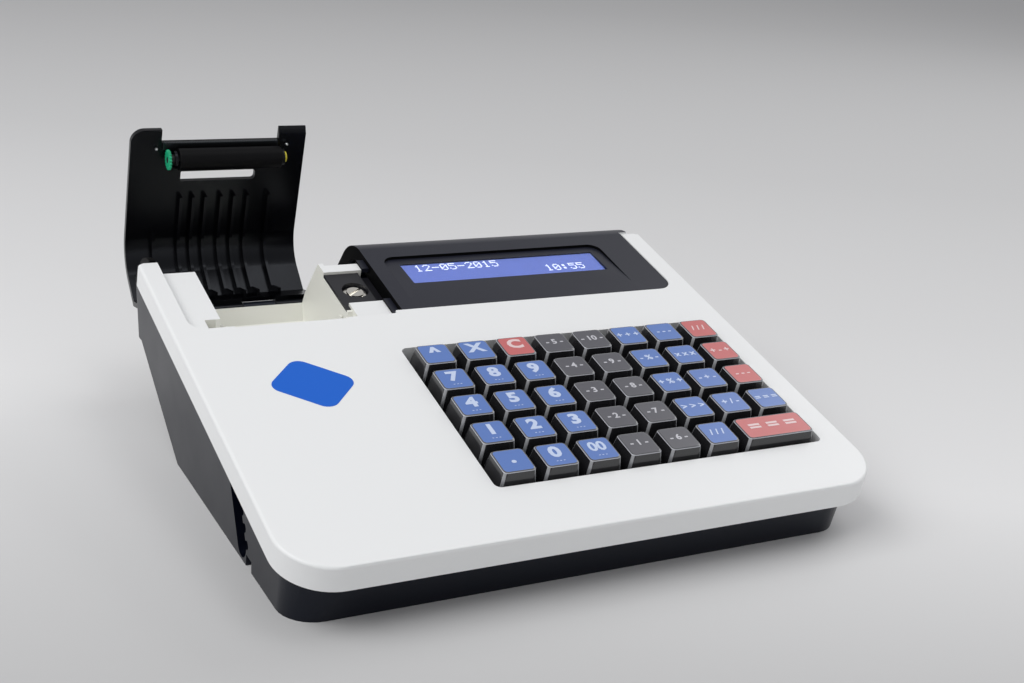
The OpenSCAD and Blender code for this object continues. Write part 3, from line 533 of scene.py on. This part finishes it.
# ---- Seal compartment -----------------------------------------------------------------
# Between bay and hood a bracket of black plastic lies on the bay's wall. The nickel-plated seal
# screw with its slotted round head sits in the bracket's well.
plate_black = moulded("plate_black", (0.012, 0.012, 0.016),
                      roughness=0.4, scale=1200, depth=0.08, cloud=0.08, Specular_IOR_Level=0.4)
from_solid("seal_bracket", "case", "cover_black", plate_black, edge=0.0003)
nickel = moulded("screw_nickel", (0.9, 0.87, 0.8),
                 roughness=0.16, scale=700, depth=0.05, cloud=0.1, Metallic=1.0)
from_solid("seal_screw", "case", "screw_nickel", nickel, edge=0.0002)

# ---- Keyboard -------------------------------------------------------------------------
# A frame of black plastic under the shell guides the keys' stems, and its posts stand on the
# keyboard's board. The main board lies at the back, with the rear sockets on it. Both boards
# are green laminate.
from_solid("key_frame", "case", "base_black", black_base, edge=0.0003)
board = moulded("board_green", (0.03, 0.16, 0.08),
                roughness=0.4, scale=900, depth=0.06, cloud=0.1)
from_solid("circuit_boards", "case", "board_green", board, edge=0.0002)

# ---- Keys -----------------------------------------------------------------------------
# Each key is a glossy dark stem and skirt with a clear cap pressed over a printed label; the
# cap's corners and the rim round the label carry painted highlights in lighter grey. The
# last key of the front row is two pitches wide. The labels carry plain figures and signs.
KEY_PITCH = 0.01905
FIRST_KEY_X, FRONT_ROW_V = -0.028, 0.039
WIDE_KEY = (5, 7)
# Rows from the back; each entry is a label's colour and what is printed on it
LABELS = {
    1: ["blue|^", "blue|X", "red|C", "grey|- 5 -", "grey|- 10 -", "blue|+ + +", "blue|- - -",
        "red|/ / /"],
    2: ["blue|7", "blue|8", "blue|9", "grey|- 4 -", "grey|- 9 -", "blue|- % -", "blue|x x x",
        "red|+ - +"],
    3: ["blue|4", "blue|5", "blue|6", "grey|- 3 -", "grey|- 8 -", "blue|+ % +", "blue|- + -",
        "red|- - -"],
    4: ["blue|1", "blue|2", "blue|3", "grey|- 2 -", "grey|- 7 -", "blue|> > >", "blue|+ / -",
        "blue|= = ="],
    5: ["blue|.", "blue|0", "blue|00", "grey|- 1 -", "grey|- 6 -", "blue|/ / /", "red|= = ="],
}
skirt_black = moulded("skirt_black", (0.016, 0.016, 0.018),
                      roughness=0.2, scale=900, depth=0.02, cloud=0.1, Coat_Weight=0.4)
# The lighter greys of the cap's corners and of the rim round the label are painted highlights.
corner_highlight = moulded("corner_highlight", (0.3, 0.305, 0.32),
                     roughness=0.14, scale=900, depth=0.02, cloud=0.1, Coat_Weight=0.6)
rim_highlight = moulded("rim_highlight", (0.42, 0.43, 0.47),
                   roughness=0.12, scale=900, depth=0.02, cloud=0.05, Coat_Weight=0.6)
cap_band = moulded("cap_band", (0.1, 0.102, 0.108),
                   roughness=0.14, scale=900, depth=0.02, cloud=0.08, Coat_Weight=0.6)
legend_inks, label_inks = {}, {}
for ink, legend_color, label_color in (
        ("blue", (0.56, 0.65, 0.85), (0.1, 0.195, 0.51)),
        ("red", (0.78, 0.6, 0.6), (0.56, 0.135, 0.135)),
        ("grey", (0.56, 0.56, 0.6), (0.085, 0.085, 0.1))):
    legend_inks[ink] = moulded("legend_on_" + ink, legend_color,
                               roughness=0.3, scale=900, depth=0.0, cloud=0.02)
    label_inks[ink] = moulded("label_" + ink, label_color,
                              roughness=0.32, scale=700, depth=0.02, cloud=0.06,
                              Coat_Weight=0.12, Coat_Roughness=0.15)
# A key's materials by number, in the order in which its piece gets them
SKIRT, CORNER, EDGE, LABEL, BAND = range(5)
# Levels of a key, from its foot up: height, half width, finish of the band below
KEY_LEVELS = ((-0.005, 0.0085, SKIRT), (0.0015, 0.0075, SKIRT), (0.0041, 0.0071, SKIRT),
              (0.00436, 0.00694, EDGE), (0.00446, 0.00658, BAND), (0.0045, 0.00642, BAND))
KEY_CORNER = 0.002
STEM_PLACE, STEM_SIZE = (0, 0.0004, -0.0088), (0.0076, 0.0076, 0.0074, 1)
# Legends of one, two and more signs: size, place up the label, fattening, stretch
LEGEND_SHAPES = {1: (0.0088, 0.0014, 0.0004, 1.15), 2: (0.0078, 0.0014, 0.00026, 1.0),
                 3: (0.0048, 0.0004, 0.00014, 1.05)}
WIDE_LEGEND_SHAPE = (0.0085, 0.0004, 0.00026, 1.25)
# Small marks that stand under the digits
SMALL_MARKS, SMALL_SHAPE = "- - -", (0.0026, -0.0038, 0.00006, 1.0)
LEGEND_HEIGHT, LEGEND_THICKNESS = 0.00455, 0.00001


def key_mesh(wide):
    """Skirt, cap and label seat of one key, about its label's centre; its corners and the rim round
    the label carry painted highlights.
    """
    bm = bmesh.new()
    bmesh.ops.create_grid(bm, x_segments=1, y_segments=1, size=1)
    height, half = KEY_LEVELS[0][:2]
    for v in bm.verts:
        v.co.x, v.co.y, v.co.z = v.co.x * (half + wide), v.co.y * half, height
    bmesh.ops.bevel(bm, geom=bm.verts[:], offset=KEY_CORNER, segments=4, affect="VERTICES",
                    profile=0.5, material=-1)
    top = bm.faces[:][0]
    foot = bmesh.ops.duplicate(bm, geom=[top])["geom"]
    next(g for g in foot if isinstance(g, bmesh.types.BMFace)).normal_flip()
    for next_height, next_half, finish in KEY_LEVELS[1:]:
        raised = bmesh.ops.extrude_face_region(bm, geom=[top])["geom"]
        old, top = top, next(g for g in raised if isinstance(g, bmesh.types.BMFace))
        if old.is_valid:
            bmesh.ops.delete(bm, geom=[old], context="FACES_ONLY")
        for v in top.verts:
            v.co.x *= (next_half + wide) / (half + wide)
            v.co.y *= next_half / half
            v.co.z = next_height
        for edge in top.edges:
            for face in edge.link_faces:
                if face is not top:
                    face.normal_update()
                    diagonal = abs(abs(face.normal.x) - abs(face.normal.y)) < 0.4
                    face.material_index = CORNER if finish == SKIRT and diagonal else finish
                    face.smooth = edge.calc_length() < KEY_CORNER
        half = next_half
    top.material_index = LABEL
    bmesh.ops.remove_doubles(bm, verts=bm.verts, dist=1e-6)
    return bm


def legend(text, seat, size, up, fatten, stretch):
    """Printed figures as a thin mesh that stands on the label of a key."""
    curve = bpy.data.curves.new("legend", "FONT")
    curve.body, curve.size, curve.offset, curve.extrude = text, size, fatten, LEGEND_THICKNESS
    curve.align_x, curve.align_y = "CENTER", "CENTER"
    curve.resolution_u = 3
    writer = bpy.data.objects.new("legend", curve)
    bpy.context.scene.collection.objects.link(writer)
    bpy.context.view_layer.update()
    mesh = bpy.data.meshes.new_from_object(writer)
    bpy.data.objects.remove(writer)
    place = seat @ Matrix.Translation((0, up, LEGEND_HEIGHT))
    mesh.transform(place @ Matrix.Diagonal((stretch, 1, 1, 1)))
    return mesh


for row, labels in LABELS.items():
    for column, label in enumerate(labels, 1):
        ink, text = label.split("|")
        wide = KEY_PITCH / 2 if (row, column) == WIDE_KEY else 0
        seat = SHELL_TOP @ Matrix.Translation((FIRST_KEY_X + KEY_PITCH * (column - 1) + wide,
                                               FRONT_ROW_V + KEY_PITCH * (len(LABELS) - row), 0))
        body = "key_r%d_c%d" % (row, column)
        bm = key_mesh(wide)
        stem = Matrix.Translation(STEM_PLACE) @ Matrix.Diagonal(STEM_SIZE)
        bmesh.ops.create_cube(bm, size=1, matrix=stem)
        bm.transform(seat)
        bmesh.ops.recalc_face_normals(bm, faces=bm.faces)
        key = add_piece("key_%d_%d" % (row, column), bm, body, "key_" + ink,
                        skirt_black, corner_highlight, rim_highlight, label_inks[ink], cap_band)
        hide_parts("key_row%d_col%d" % (row, column))
        shape = WIDE_LEGEND_SHAPE if wide else LEGEND_SHAPES[min(len(text), 3)]
        figures = bmesh.new()
        figures.from_mesh(legend(text, seat, *shape))
        if text.isdigit():
            figures.from_mesh(legend(SMALL_MARKS, seat, *SMALL_SHAPE))
        add_piece("figures_%d_%d" % (row, column), figures, body, "key_" + ink, legend_inks[ink])
